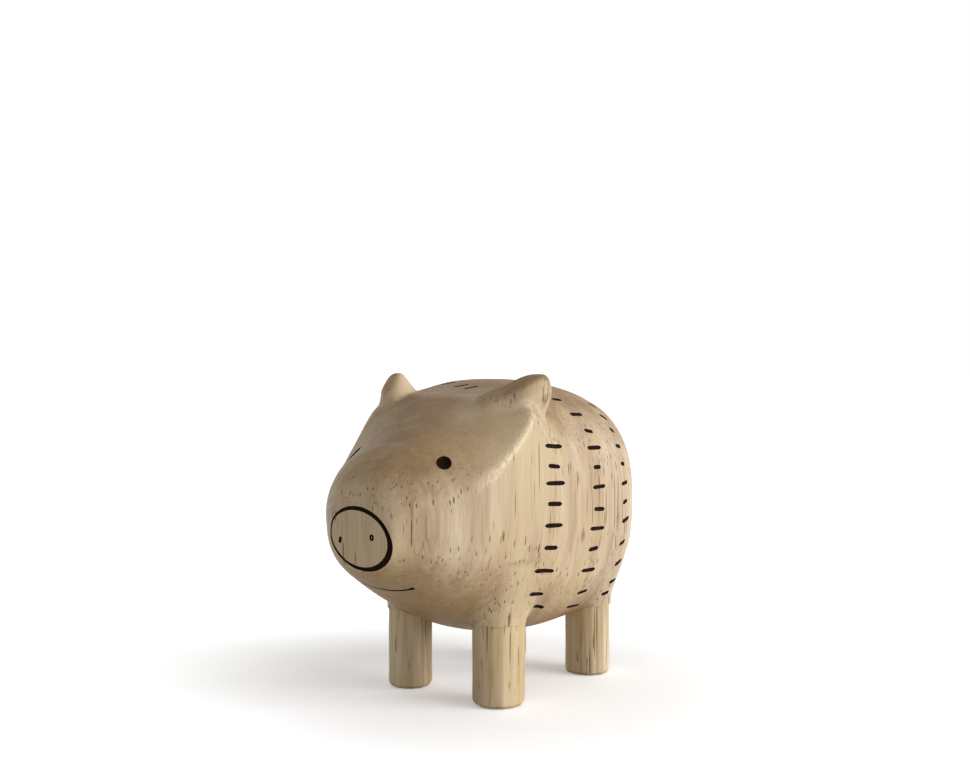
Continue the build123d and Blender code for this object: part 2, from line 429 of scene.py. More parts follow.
# %% Adding and taking away
def joined(target, tool, operation):
    """The target after a Boolean with the tool, made real. The tool is then removed."""
    step = target.modifiers.new(operation, "BOOLEAN")
    step.operation, step.object, step.solver = operation, tool, "MANIFOLD"
    step.material_mode = "INDEX"
    view = bpy.context.evaluated_depsgraph_get()
    mesh = bpy.data.meshes.new_from_object(target.evaluated_get(view))
    target.modifiers.clear()
    target.data = mesh
    bpy.data.objects.remove(tool)
    return target


def triangles(piece):
    """How many triangles the piece's faces make: a face of n corners makes n - 2."""
    return len(piece.data.loops) - 2 * len(piece.data.polygons)


print("Booleans that keep each face's material are ready")

# %% [markdown]
# The rays are a grid of two angles, like longitude and latitude with the poles at the snout
# and the rump. From a single middle, some of them would only graze the backs of the ears and
# leave steps there. So the rows fan out from a heart between the ears, then slide along the
# body, and fan out again from a heart between the hind legs.

# %% The block's surface
AROUND, ALONG = 360, 230
FRONT_HEART, HIND_HEART = -9.8, 19.6
RING_AXIS = 38.0
SKIN_REACH = 60.0
share = (np.arange(ALONG) + 0.6) / (ALONG + 0.2)
# shares of the rows where the slide along the body begins and ends, and the rays' lean there
stops = (0.0, 0.46, 0.60, 1.0)
lean = np.interp(share, stops, np.radians((0, 100, 80, 180)))
hearts = np.zeros((ALONG, 1, 3))
hearts[:, 0, 1] = np.interp(share, stops, (FRONT_HEART, FRONT_HEART, HIND_HEART, HIND_HEART))
hearts[:, 0, 2] = RING_AXIS
turn = np.linspace(0, 2 * np.pi, AROUND, endpoint=False)
turn, lean = np.meshgrid(turn, lean)
rays = np.stack([np.sin(lean) * np.cos(turn), -np.cos(lean), np.sin(lean) * np.sin(turn)], -1)
skin = surface(hearts, rays, SKIN_REACH)
print("block grid", skin.shape, "from", skin.min((0, 1)).round(1), "to", skin.max((0, 1)).round(1))


# %% [markdown]
# ## Materials
# Each material is named for the real one and for how its surface was made. Small helpers do
# the dull work: one turns a colour picked on screen into the linear numbers that the
# renderer uses, one empties a tree of nodes, and one adds a node with its settings and links
# in one line and hands on its output.

# %% Colours and nodes
def linear(code):
    """An sRGB hex colour as linear red, green, blue and alpha."""
    value = np.array([int(code[i:i + 2], 16) for i in (1, 3, 5)]) / 255
    value = np.where(value <= 0.04045, value / 12.92, ((value + 0.055) / 1.055) ** 2.4)
    return (*value.tolist(), 1.0)


def empty_tree(owner):
    """The node tree of a material or a world, without its first nodes."""
    owner.use_nodes = True
    owner.node_tree.nodes.clear()
    return owner.node_tree


def add(tree, kind, inputs=None, output=None, **settings):
    """Adds a node, sets its settings, and fills its inputs with values or with the outputs
    of other nodes. Gives its output of that name, or else the first that is switched on."""
    made = tree.nodes.new("ShaderNode" + kind)
    for key, setting in settings.items():
        setattr(made, key, setting)
    for key, value in (inputs or {}).items():
        if isinstance(value, bpy.types.NodeSocket):
            tree.links.new(value, made.inputs[key])
        else:
            made.inputs[key].default_value = value
    if output:
        return made.outputs[output]
    return next((socket for socket in made.outputs if socket.enabled), None)


print("middle grey on screen is", round(linear("#808080")[0], 3), "in linear light")


# %% [markdown]
# The body looks like rubberwood: pale, open-grained, sanded and rubbed with wax. Its fibres
# run up and down. What the eye sees is a warm cream with soft streaks, and many short dark
# pores, which are cut lengthwise on the flanks and look like fine scratches. A picture of
# wood would have to be wrapped round the pig. Here every texture is a pattern in the solid
# instead, so it turns with the surface as real grain does.

# %% Grain, bands and streaks
def along_grain(tree, kind, width, length, **inputs):
    """A texture read at (x / w, y / w, z / l), where w and l are a feature's real width and
    length in millimetres, so that it is narrow across the grain and long along it."""
    here = add(tree, "TexCoord", output="Object")
    scale = (1 / (width * MM), 1 / (width * MM), 1 / (length * MM))
    there = add(tree, "Mapping", {"Vector": here, "Scale": scale})
    return add(tree, kind, {"Vector": there, "Scale": 1.0, **inputs})


def banded(tree, pale, deep, sap):
    """The wood's own colour. Growth bands 5 mm wide and streaks of 0.7 mm choose together
    between the deep and the pale brown, and patches of 11 mm are mixed with the sapwood's."""
    bands = along_grain(tree, "TexNoise", 5, 60, Detail=3.0)
    streaks = along_grain(tree, "TexNoise", 0.7, 18, Detail=3.0)
    streaks = add(tree, "Math", {0: streaks, 1: 0.7}, operation="MULTIPLY")
    tone = add(tree, "Math", {0: bands, 1: 1.6, 2: streaks}, operation="MULTIPLY_ADD")
    tone = add(tree, "MapRange", {"Value": tone, "From Min": 0.90, "From Max": 1.42})
    colour = add(tree, "Mix", {"Factor": tone, "A": deep, "B": pale}, data_type="RGBA")
    patch = along_grain(tree, "TexNoise", 11, 30)
    patch = add(tree, "MapRange", {"Value": patch, "From Min": 0.44, "From Max": 0.62, "To Max": 0.55})
    return add(tree, "Mix", {"Factor": patch, "A": colour, "B": sap}, data_type="RGBA")


print("growth bands 5 mm wide and 60 mm long, streaks of 0.7 by 18 mm")

# %% [markdown]
# Pores are tubes in the wood, which a cut along the grain opens as short dark lines. A cell
# pattern that is stretched along the grain has just such long spots, and a slow noise gathers
# them in crowds. Besides them there are a few thin dark growth lines.

# %% Pores and dark lines
PORE_RADIUS, PORE_EDGE = 0.16, 0.05


def pores(tree, width, length, crowd_size, start, end):
    """1 nearer to a cell's point than a radius in shares of the cell, otherwise 0, times how
    crowded the pores are there: a noise, from 0 at the start to 1 at the end."""
    cell = along_grain(tree, "TexVoronoi", width, length)
    pore = add(tree, "MapRange", {
        "Value": cell, "From Min": PORE_RADIUS, "From Max": PORE_RADIUS + PORE_EDGE,
        "To Min": 1.0, "To Max": 0.0,
    })
    crowd = along_grain(tree, "TexNoise", *crowd_size)
    crowd = add(tree, "MapRange", {"Value": crowd, "From Min": start, "From Max": end})
    return add(tree, "Math", {0: pore, 1: crowd}, operation="MULTIPLY")


def growth_lines(tree):
    """1 where a slow noise comes within 0.005 of its middle value, and 0 from 0.014 on. A
    finer noise breaks the lines up."""
    swirl = along_grain(tree, "TexNoise", 2.4, 60, Detail=1.0, Distortion=0.4)
    off = add(tree, "Math", {0: swirl, 1: 0.47}, operation="SUBTRACT")
    off = add(tree, "Math", {0: off}, operation="ABSOLUTE")
    line = add(tree, "MapRange", {
        "Value": off, "From Min": 0.005, "From Max": 0.014, "To Min": 1.0, "To Max": 0.0,
    })
    breaks = along_grain(tree, "TexNoise", 0.9, 9)
    breaks = add(tree, "MapRange", {"Value": breaks, "From Min": 0.45, "From Max": 0.62})
    return add(tree, "Math", {0: line, 1: breaks}, operation="MULTIPLY")


def dark_marks(tree, end):
    """The largest of long pores, short pores and growth lines. All are fainter on end grain,
    where the fibres point at the eye."""
    long_pores = pores(tree, 0.8, 36, (2.2, 26), 0.40, 0.47)
    short_pores = pores(tree, 1.0, 12, (3.5, 8), 0.44, 0.54)
    marks = add(tree, "Math", {0: long_pores, 1: short_pores}, operation="MAXIMUM")
    fainter = add(tree, "MapRange", {
        "Value": end, "From Min": 0.2, "From Max": 0.9, "To Min": 1.0, "To Max": 0.35,
    })
    marks = add(tree, "Math", {0: marks, 1: fainter}, operation="MULTIPLY")
    fainter = add(tree, "MapRange", {"Value": end, "From Max": 0.5, "To Min": 0.6, "To Max": 0.0})
    lines = add(tree, "Math", {0: growth_lines(tree), 1: fainter}, operation="MULTIPLY")
    return add(tree, "Math", {0: marks, 1: lines}, operation="MAXIMUM")


print(f"pores up to {2 * PORE_RADIUS * 0.8:.2f} mm wide and {2 * PORE_RADIUS * 36:.0f} mm long")

# %% [markdown]
# Where the surface lies across the fibres, on the forehead and the back, their open ends
# drink more wax, and the wood goes darker and mottled. The same darkening of every face that
# points up or down, the belly too, is also painted shade.

# %% End grain, and painted shade
END_GRAIN_AND_SHADE_FROM, END_GRAIN_AND_SHADE_FULL = 0.30, 0.90


def end_grain_and_shade(tree):
    """0 where the surface runs along the fibres and 1 where it lies across them: how far its
    direction is upright, whether it faces up or down. Where it is 1 the wood is darkened
    as end grain and also as painted shade."""
    facing = add(tree, "TexCoord", output="Normal")
    upright = add(tree, "SeparateXYZ", {"Vector": facing}, output="Z")
    upright = add(tree, "Math", {0: upright}, operation="ABSOLUTE")
    return add(tree, "MapRange", {
        "Value": upright, "From Min": END_GRAIN_AND_SHADE_FROM, "From Max": END_GRAIN_AND_SHADE_FULL,
    })


def waxed_ends_and_shade(tree, colour, end, tint, pore):
    """The colour, times the tint on end grain, which also paints shade on faces that point up
    or down, with up to 22 % of the pores' brown in mottles of 1.3 mm."""
    tinted = add(
        tree, "Mix", {"Factor": 1.0, "A": colour, "B": tint}, data_type="RGBA", blend_type="MULTIPLY",
    )
    colour = add(tree, "Mix", {"Factor": end, "A": colour, "B": tinted}, data_type="RGBA")
    mottle = along_grain(tree, "TexNoise", 1.3, 1.3, Detail=4.0)
    mottle = add(tree, "MapRange", {"Value": mottle, "From Min": 0.35, "From Max": 0.68, "To Max": 0.22})
    mottle = add(tree, "Math", {0: mottle, 1: end}, operation="MULTIPLY")
    return add(tree, "Mix", {"Factor": mottle, "A": colour, "B": pore}, data_type="RGBA")


print(f"full end grain within {np.degrees(np.arccos(END_GRAIN_AND_SHADE_FULL)):.0f} degrees of level")

# %% [markdown]
# The body has been handled more than the legs. Its ridge over the brow is worn bare, and
# its pale bare wood is partly a painted highlight. A paler zone beside that ridge, on the side
# towards the lamp, and the inner face of the right ear, which faces the lamp, are painted
# light. Faint pencil lines show where the rows of dashes were set out. The mesh carries these
# as attributes of its vertices.

# %% Wear, painted light and pencil
PENCIL_FULL, PENCIL_ENDS = 0.10, 0.20


def handled(tree, colour):
    """The colour, mixed with a pale painted light where the wood turns towards the lamp, with
    bare wood in flakes of under 1 mm that is partly a painted highlight, and with pencil grey
    close to a ring's line, stronger here and fainter there."""
    # painted light: paler wood on the forehead and the right ear where they turn towards the lamp
    painted_light = add(tree, "Attribute", output="Fac", attribute_name="painted_light")
    painted_light = add(tree, "Math", {0: painted_light, 1: 0.8}, operation="MULTIPLY")
    colour = add(tree, "Mix", {"Factor": painted_light, "A": colour, "B": linear("#e6d1b0")}, data_type="RGBA")
    flakes = along_grain(tree, "TexNoise", 0.5, 0.9, Detail=3.0)
    flakes = add(tree, "MapRange", {
        "Value": flakes, "From Min": 0.36, "From Max": 0.60, "To Min": 0.095, "To Max": 0.95,
    })
    # worn: bare wood on the ridge, partly a painted highlight
    worn = add(tree, "Attribute", output="Fac", attribute_name="worn")
    worn = add(tree, "Math", {0: worn, 1: flakes}, operation="MULTIPLY")
    colour = add(tree, "Mix", {"Factor": worn, "A": colour, "B": linear("#efdcbd")}, data_type="RGBA")
    off = add(tree, "Attribute", output="Fac", attribute_name="to_ring")
    off = add(tree, "Math", {0: off}, operation="ABSOLUTE")
    pencil = add(tree, "MapRange", {
        "Value": off, "From Min": PENCIL_FULL, "From Max": PENCIL_ENDS, "To Min": 1.0, "To Max": 0.0,
    })
    pressed = along_grain(tree, "TexNoise", 1.0, 5.0)
    pressed = add(tree, "MapRange", {
        "Value": pressed, "From Min": 0.42, "From Max": 0.58, "To Min": 0.05, "To Max": 0.45,
    })
    pencil = add(tree, "Math", {0: pencil, 1: pressed}, operation="MULTIPLY")
    return add(tree, "Mix", {"Factor": pencil, "A": colour, "B": linear("#6b5240")}, data_type="RGBA")


print("pencil lines", 2 * PENCIL_ENDS, "mm wide")

# %% [markdown]
# Wax leaves a low sheen, duller in the pores than between them, and the fibres and open
# pores can just be felt. The legs are the same wood, pared with a knife, and a little yellower.

# %% Sanded and whittled hardwood
MARK_STRENGTH = 0.80
FIBRE_RELIEF = 0.5


def hardwood(name, pale, deep, sap, pore, end_grain_and_shade_tint, on_body=False):
    """Bands, waxed end grain with painted shade, and dark marks, and on the body also its wear,
    painted light and pencil. The relief is that of the fibres less the marks."""
    made = bpy.data.materials.new(name)
    tree = empty_tree(made)
    # end: faces that point up or down, darkened as waxed end grain and as painted shade
    end = end_grain_and_shade(tree)
    marks = dark_marks(tree, end)
    colour = banded(tree, linear(pale), linear(deep), linear(sap))
    colour = waxed_ends_and_shade(tree, colour, end, linear(end_grain_and_shade_tint), linear(pore))
    darkness = add(tree, "Math", {0: marks, 1: MARK_STRENGTH}, operation="MULTIPLY")
    colour = add(tree, "Mix", {"Factor": darkness, "A": colour, "B": linear(pore)}, data_type="RGBA")
    if on_body:
        colour = handled(tree, colour)
    fibres = along_grain(tree, "TexNoise", 0.3, 6)
    fibres = add(tree, "Math", {0: fibres, 1: FIBRE_RELIEF}, operation="MULTIPLY")
    relief = add(tree, "Math", {0: fibres, 1: marks}, operation="SUBTRACT")
    bump = add(tree, "Bump", {"Strength": 0.35, "Distance": 0.12 * MM, "Height": relief})
    roughness = add(tree, "MapRange", {"Value": marks, "To Min": 0.50, "To Max": 0.70})
    shader = add(tree, "BsdfPrincipled", {
        "Base Color": colour, "Roughness": roughness, "Normal": bump, "IOR": 1.5,
        "Specular IOR Level": 0.32,
    })
    add(tree, "OutputMaterial", {"Surface": shader})
    return made


# the end tint darkens faces that point up or down: waxed end grain, and painted shade
body_wood = hardwood(
    "sanded_waxed_hardwood", pale="#d3c0a4", deep="#b3997c", sap="#cdb78f", pore="#5a402a",
    end_grain_and_shade_tint="#c4b192", on_body=True,
)
leg_wood = hardwood(
    "whittled_waxed_hardwood", pale="#e0cfb2", deep="#a88f6a", sap="#c9b283", pore="#5e4a2c",
    end_grain_and_shade_tint="#cfc3a8",
)
for wood in (body_wood, leg_wood):
    print(wood.name, len(wood.node_tree.nodes), "nodes")


# %% [markdown]
# The marks are burnt in with a hot tip. Charred wood is nearly black with a brown tinge, and
# dull, with a fine crumbly surface.

# %% Charred wood
def charred(name):
    """Two browns near black, mixed by noise of 0.4 mm, with a rough bump."""
    made = bpy.data.materials.new(name)
    tree = empty_tree(made)
    crumbs = along_grain(tree, "TexNoise", 0.4, 0.4, Detail=3.0)
    mix = add(tree, "MapRange", {"Value": crumbs, "From Min": 0.35, "From Max": 0.70})
    colour = add(
        tree, "Mix", {"Factor": mix, "A": linear("#0d0604"), "B": linear("#26140a")}, data_type="RGBA",
    )
    bump = add(tree, "Bump", {"Strength": 0.4, "Distance": 0.1 * MM, "Height": crumbs})
    shader = add(tree, "BsdfPrincipled", {
        "Base Color": colour, "Roughness": 0.8, "Specular IOR Level": 0.08, "Normal": bump,
    })
    add(tree, "OutputMaterial", {"Surface": shader})
    return made


char = charred("burnt_wood")
print(char.name, len(char.node_tree.nodes), "nodes")


# %% [markdown]
# ## The body
# The skin becomes a mesh. Four thin collars give each root a crisp round rim at its seam,
# and the legs' sockets and the tail's hole are cut out, because real ones are there.

# %% The skin, and pegs on the legs' axes
def pegs(levels_and_radii, sides=96, turned=0.0):
    """Round pegs on the legs' axes: one row of vertices for each level and radius."""
    angle = turned + np.linspace(0, 2 * np.pi, sides, endpoint=False)
    tubes = []
    for place, rows in zip(LEGS.values(), levels_and_radii):
        level, radius = np.array(rows)[:, 0, None], np.array(rows)[:, 1, None]
        x = place["at"][0] + radius * np.cos(angle)
        y = place["at"][1] + radius * np.sin(angle)
        tubes.append(np.stack([x, y, level + 0 * x], -1))
    return np.stack(tubes)


BODY_FINISHES = (body_wood, char)
body = tube_mesh("body_carved", skin[None], BODY_FINISHES)
print("skin", triangles(body), "triangles")

# %% Rims and sockets
GLUE = 0.1
RIM_FOOT, RIM_HEAD, RIM_TALL = 0.25, 0.3, 1.6
# the sockets are turned a little, so that none of their edges falls on one of a rim's
SOCKET_TURN = 0.017
rims = pegs([
    [(p["seam"], p["radius"] + RIM_FOOT), (p["seam"] + RIM_TALL, p["radius"] + RIM_HEAD)]
    for p in LEGS.values()
])
joined(body, tube_mesh("rims", rims, BODY_FINISHES), "UNION")
sockets = pegs([
    [(0.5 * BELLY, p["radius"] + GLUE), (p["top"] + GLUE, p["radius"] + GLUE)]
    for p in LEGS.values()
], turned=SOCKET_TURN)
joined(body, tube_mesh("sockets", sockets, BODY_FINISHES), "DIFFERENCE")
print("body with rims and sockets", triangles(body), "triangles")


# %% [markdown]
# ## The burnt marks
# Each mark is a groove: a round tip drawn along the surface, its middle a little above the
# wood. A picture of the marks would lie flat, while a real groove has a lip and a shadow. The
# paths are found with rays, as the skin is, so that they lie on it.

# %% Grooves along a path
def sections(path, above, radii, sides=12):
    """Round sections carried along a path that lies on the surface. Each is square to the
    path, and its middle stands above the surface by a share of its radius."""
    normal = outward(path)
    heading = np.gradient(path, axis=-2)
    heading = heading / np.linalg.norm(heading, axis=-1, keepdims=True)
    side = np.cross(heading, normal)
    side = side / np.linalg.norm(side, axis=-1, keepdims=True)
    lift = np.cross(side, heading)
    angle = np.linspace(0, 2 * np.pi, sides, endpoint=False)
    radii = np.asarray(radii)[..., None, None]
    circle = (np.cos(angle)[:, None] * side[..., None, :] + np.sin(angle)[:, None] * lift[..., None, :])
    return (path + normal * (above * radii[..., 0]))[..., None, :] + radii * circle


def burn(name, tubes, mesh_of=tube_mesh):
    """Cuts the tubes out of the body and leaves charred walls."""
    joined(body, mesh_of(name, tubes, BODY_FINISHES, BODY_FINISHES.index(char)), "DIFFERENCE")
    print("burnt:", name, "- the body has", triangles(body), "triangles")


# %% [markdown]
# Three rings of dashes go round the body: behind the ears, round the middle and before the
# rump. They were drawn by hand, so no two are alike. The photograph shows the pig's left
# side, and the right side mirrors it.

# %% The rows of dashes
# degrees round the body, millimetres behind the snout, length, and degrees that it turns
RING_FRONT = np.array([
    (31.7, 33.3, 6.8, 0), (22.9, 32.8, 4.2, -1), (15.0, 33.0, 6.4, -1), (4.8, 32.7, 4.7, -1),
    (-6.2, 32.6, 5.8, -1), (-17.6, 32.3, 4.3, -1), (-29.5, 31.8, 5.9, -1), (-41.6, 31.8, 5.0, -2),
    (-49.8, 35.0, 3.4, -1),
])
RING_MIDDLE = np.array([
    (57.7, 45.0, 3.6, 0), (48.1, 47.7, 4.9, 0), (38.8, 49.1, 3.2, -1), (30.2, 49.0, 5.6, 0),
    (20.4, 48.7, 2.9, 0), (10.2, 48.9, 5.0, 0), (-1.8, 48.9, 4.2, -1), (-12.0, 48.3, 5.7, -1),
    (-22.3, 47.4, 3.7, 0), (-32.8, 46.9, 5.4, -1), (-44.5, 47.8, 3.9, 0), (-53.3, 48.0, 5.8, -2),
    (70.0, 45.6, 4.2, 0), (80.0, 46.2, 3.2, 0),
])
RING_HIND = np.array([
    (56.7, 59.3, 3.4, -1), (48.8, 60.1, 3.8, -1), (40.7, 60.7, 2.4, -1), (31.3, 60.6, 3.0, 0),
    (21.3, 60.9, 2.3, 0), (10.2, 60.9, 3.5, 1), (-0.9, 61.0, 2.5, 1), (-11.8, 61.5, 4.1, 1),
    (-24.4, 60.5, 3.0, 1), (-35.5, 60.8, 3.5, 1), (-45.0, 60.6, 3.1, 0), (-50.2, 59.0, 2.5, 1),
    (70.9, 60.2, 4.0, 0), (80.0, 60.5, 2.7, 0),
])
RING_TOP = np.array([
    (112.5, 39.0, 1.6, -6), (102.2, 37.2, 1.8, -6), (94.2, 36.0, 2.2, -5), (76.0, 34.5, 4.2, 0),
    (90.0, 46.2, 4.6, 0), (90.0, 60.6, 4.0, 0),
])
near_side = np.concatenate([RING_FRONT, RING_MIDDLE, RING_HIND])
far_side = near_side * (-1, 1, 1, -1) + (180, 0, 0, 0)
dashes = np.concatenate([near_side, far_side, RING_TOP])
print(len(dashes), f"dashes, {dashes[:, 2].min()} to {dashes[:, 2].max()} mm long")

# %% Burning the dashes
DASH_RADIUS, UNSTEADY = 0.50, 0.03
DASH_ABOVE, DASH_REACH = 0.5, 40.0
along = np.linspace(-0.5, 0.5, 11)
angle = np.radians(dashes[:, 0:1] + dashes[:, 3:4] * along)
start = np.stack([0 * angle, SNOUT + dashes[:, 1:2] + dashes[:, 2:3] * along, RING_AXIS + 0 * angle], -1)
dash_paths = surface(start, np.stack([np.cos(angle), 0 * angle, np.sin(angle)], -1), DASH_REACH)
# the hand presses a little more or less from dash to dash, and within each one
hand = np.random.default_rng(5).uniform(-1, 1, (len(dashes), 3, 1))
waver = np.sin(5 * along + 3 * hand[:, 2])
pressure = DASH_RADIUS + UNSTEADY * hand[:, 0] + UNSTEADY * hand[:, 1] * waver
# sqrt(1 - |2 t|^8) rounds the ends off
dash_radii = pressure * np.sqrt(np.clip(1 - (2 * np.abs(along)) ** 8, 0.05, 1))
burn("dashes", sections(dash_paths, DASH_ABOVE, dash_radii))


# %% [markdown]
# The snout's ring and the small ring of one nostril are strokes that end where they began.
# Their tubes have no end faces, and the direction at the join has to come out right.

# %% Closed grooves
def loop_mesh(name, loops, materials, worn=0):
    """Tubes that close on themselves, from an array of tube, row, column and x, y, z."""
    loops = facing_out(loops)
    count, rows, columns, _ = loops.shape
    first = np.arange(count * rows * columns).reshape(count, rows, columns)
    turned, later = np.roll(first, -1, axis=2), np.roll(first, -1, axis=1)
    both = np.roll(later, -1, axis=2)
    quads = np.stack([first, turned, both, later], -1).reshape(-1, 4)
    return dressed(name, loops, quads.tolist(), materials, worn)


def loop_sections(path, above, radii, sides=12):
    """Sections along a closed path. It is carried three points past both its ends, and these
    are dropped again when the directions are known."""
    longer = np.concatenate([path[:, -3:], path, path[:, :3]], 1)
    wider = np.concatenate([radii[:, -3:], radii, radii[:, :3]], 1)
    return sections(longer, above, wider, sides)[:, 3:-3]


def tilted_oval(middle, half_width, half_height, tilt, turn):
    """Points on an oval in the snout's plane: (a cos t, b sin t), turned by the tilt."""
    wide, high = half_width * np.cos(turn), half_height * np.sin(turn)
    x = middle[0] + wide * np.cos(tilt) - high * np.sin(tilt)
    z = middle[1] + wide * np.sin(tilt) + high * np.cos(tilt)
    return np.stack([x, SNOUT + 0 * turn, z], -1)


# %% [markdown]
# The snout's ring runs round the rim of the flat disc, drawn by hand: thin at the left and
# below, broad at the right, as one sees it from the front.

# %% The snout's ring
SNOUT_MIDDLE = (0.85, 34.9)
RING_HALF_WIDTH, RING_HALF_HEIGHT, RING_TILT = 7.6, 5.45, np.radians(-13)
INSIDE_SNOUT = np.array([SNOUT_MIDDLE[0], SNOUT + 8.0, SNOUT_MIDDLE[1]])
THIN, BROADER, BROADER_ABOVE = 0.24, 0.46, 0.24
FACE_REACH = 30.0
turn = np.linspace(0, 2 * np.pi, 96, endpoint=False)
to_right, to_top = np.clip(np.cos(turn + 0.45), 0, 1), np.clip(np.sin(turn + 0.3), 0, 1)
stroke = THIN + BROADER * to_right**2 + BROADER_ABOVE * to_top
oval = tilted_oval(SNOUT_MIDDLE, RING_HALF_WIDTH, RING_HALF_HEIGHT, RING_TILT, turn)
ring = onto_surface(oval, INSIDE_SNOUT, FACE_REACH)[None]
burn("snout ring", loop_sections(ring, 0.35, stroke[None]), loop_mesh)

# %% [markdown]
# The nostrils are not a pair: one is a small ring, the other a short slanting slot.

# %% The nostrils
turn = np.linspace(0, 2 * np.pi, 32, endpoint=False)
small_ring = tilted_oval((3.88, 35.34), 0.33, 0.40, 0.2, turn)[None]
burn("left nostril", loop_sections(small_ring, 0.3, 0.27 + 0 * turn[None], 8), loop_mesh)

SLOT_AT, SLOT_ASIDE, SLOT_RISE, SLOT_RADIUS = (-4.16, 34.28), 0.12, 0.62, 0.42
across = np.linspace(-1, 1, 9)
slot = np.stack([SLOT_AT[0] + SLOT_ASIDE * across, SNOUT + 0 * across, SLOT_AT[1] + SLOT_RISE * across], -1)
slot_radii = SLOT_RADIUS * np.sqrt(np.clip(1 - across**6, 0.04, 1))
burn("right nostril", sections(slot[None], 0.35, slot_radii[None]))

# %% [markdown]
# The mouth is one thin stroke under the disc. Both its ends turn up, and at the pig's left
# the hot tip rested a moment and burnt a dot.

# %% The mouth
# a few points near the wood, from the pig's right to its left
MOUTH = np.array([
    (-3.8, -35.2, 25.5), (-2.2, -34.8, 24.9), (0.1, -34.6, 24.6), (2.3, -34.2, 24.5),
    (4.6, -33.8, 24.7), (6.3, -33.5, 25.0), (7.7, -33.3, 25.5),
])
INSIDE_MOUTH = np.array([1.0, -28.0, 34.0])
MOUTH_RADIUS, DOT_MORE, DOT_FROM, DOT_OVER = 0.30, 0.24, 0.86, 0.1
steps = np.linspace(0, 1, len(MOUTH))
fine = np.linspace(0, 1, 33)
mouth = between_rows(np.column_stack([steps, MOUTH]), fine)
mouth = onto_surface(mouth, INSIDE_MOUTH, FACE_REACH)[None]
rounded = np.sqrt(np.clip(1 - np.abs(2 * fine - 1) ** 40, 0.05, 1))
mouth_radii = (MOUTH_RADIUS + DOT_MORE * ramp(fine, DOT_FROM, DOT_OVER)) * rounded
burn("mouth", sections(mouth, 0.3, mouth_radii[None]))

# %% [markdown]
# The eyes are shallow bowls, pressed in with the round side of the tip. Each is cut with an
# egg that stands a little out of the wood. Its rows go from the deepest point up along the
# surface's own direction.

# %% The eyes
# left and right
EYES = np.array([(11.73, -29.56, 48.72), (-13.6, -27.0, 48.9)])
INSIDE_HEAD = np.array([0.0, -20.0, 38.0])
EYE_REACH = 40.0
BOWL_RADII, BOWL_TALLER, BOWL_DEPTH, BOWL_ABOVE = np.array([1.52, 1.75]), 1.2, 1.0, 0.28
eye_at = onto_surface(EYES, INSIDE_HEAD, EYE_REACH)
normal = outward(eye_at)
sideways = np.cross(normal, (0, 0, 1))
sideways /= np.linalg.norm(sideways, axis=-1, keepdims=True)
upwards = np.cross(sideways, normal)
lean = np.pi * (np.arange(14) + 0.4) / 13.8
turn = np.linspace(0, 2 * np.pi, 40, endpoint=False)
circle = (
    np.cos(turn)[:, None] * sideways[:, None, None]
    + BOWL_TALLER * np.sin(turn)[:, None] * upwards[:, None, None]
)
bowls = (
    (eye_at + BOWL_ABOVE * normal)[:, None, None]
    - BOWL_DEPTH * np.cos(lean)[None, :, None, None] * normal[:, None, None]
    + BOWL_RADII[:, None, None, None] * np.sin(lean)[None, :, None, None] * circle
)
burn("eyes", bowls)

# %% [markdown]
# The tail's peg stands in a drilled hole, which is cut last. Then the body is shaded smooth,
# and only edges sharper than 35 degrees stay crisp, such as those of the grooves and rims.

# %% The tail's hole, and a smooth shade
BEYOND_RUMP = 3.0
low, high = box_mm("tail")
TAIL_RADIUS = (high - low)[0] / 2
angle = np.linspace(0, 2 * np.pi, 48, endpoint=False) + 0.02
tail_level = low[2] + TAIL_RADIUS
hole_ends = np.array([low[1] - GLUE, SNOUT + LENGTH + BEYOND_RUMP])
hole = np.stack([
    (TAIL_RADIUS + GLUE) * np.cos(angle) + 0 * hole_ends[:, None],
    hole_ends[:, None] + 0 * angle,
    tail_level + (TAIL_RADIUS + GLUE) * np.sin(angle) + 0 * hole_ends[:, None],
], -1)[None]
joined(body, tube_mesh("tail_hole", hole, BODY_FINISHES), "DIFFERENCE")
body.data.shade_smooth()
body.data.set_sharp_from_angle(angle=np.radians(35))
print(f"a hole of {2 * (TAIL_RADIUS + GLUE):.1f} mm, and the body has", triangles(body), "triangles")


# %% [markdown]
# The wood's material needs to know where the body is worn, where light is painted on it,
# and how far each place is from a ring. That could be painted by hand. Here it is worked out
# from the same fields that made the shape, so it always fits.

# %% Where the body is worn, and where light is painted on it
def fading(distance, width):
    """exp(-(distance / width)^2): 1 at no distance, and next to nothing at twice the width."""
    return np.exp(-((distance / width) ** 2))


at = np.empty(len(body.data.vertices) * 3, np.float32)
body.data.vertices.foreach_get("co", at)
x, y, z = at.reshape(-1, 3).T / MM
cut, flank = forehead(x, y, z), block(x, y, z)

# worn: 1 on the ridge where the forehead's cut meets the flank, on both sides of the brow;
# its pale bare wood is partly a painted highlight
RIDGE_FRONT, RIDGE_BACK, RIDGE_SIDE = -30, -5, 12
worn = fading(cut - flank, 0.9) * fading(np.maximum(cut, flank), 0.5)
worn *= ramp(y, RIDGE_FRONT, 6) * ramp(y, RIDGE_BACK, -5) * ramp(np.abs(x), RIDGE_SIDE, 4)

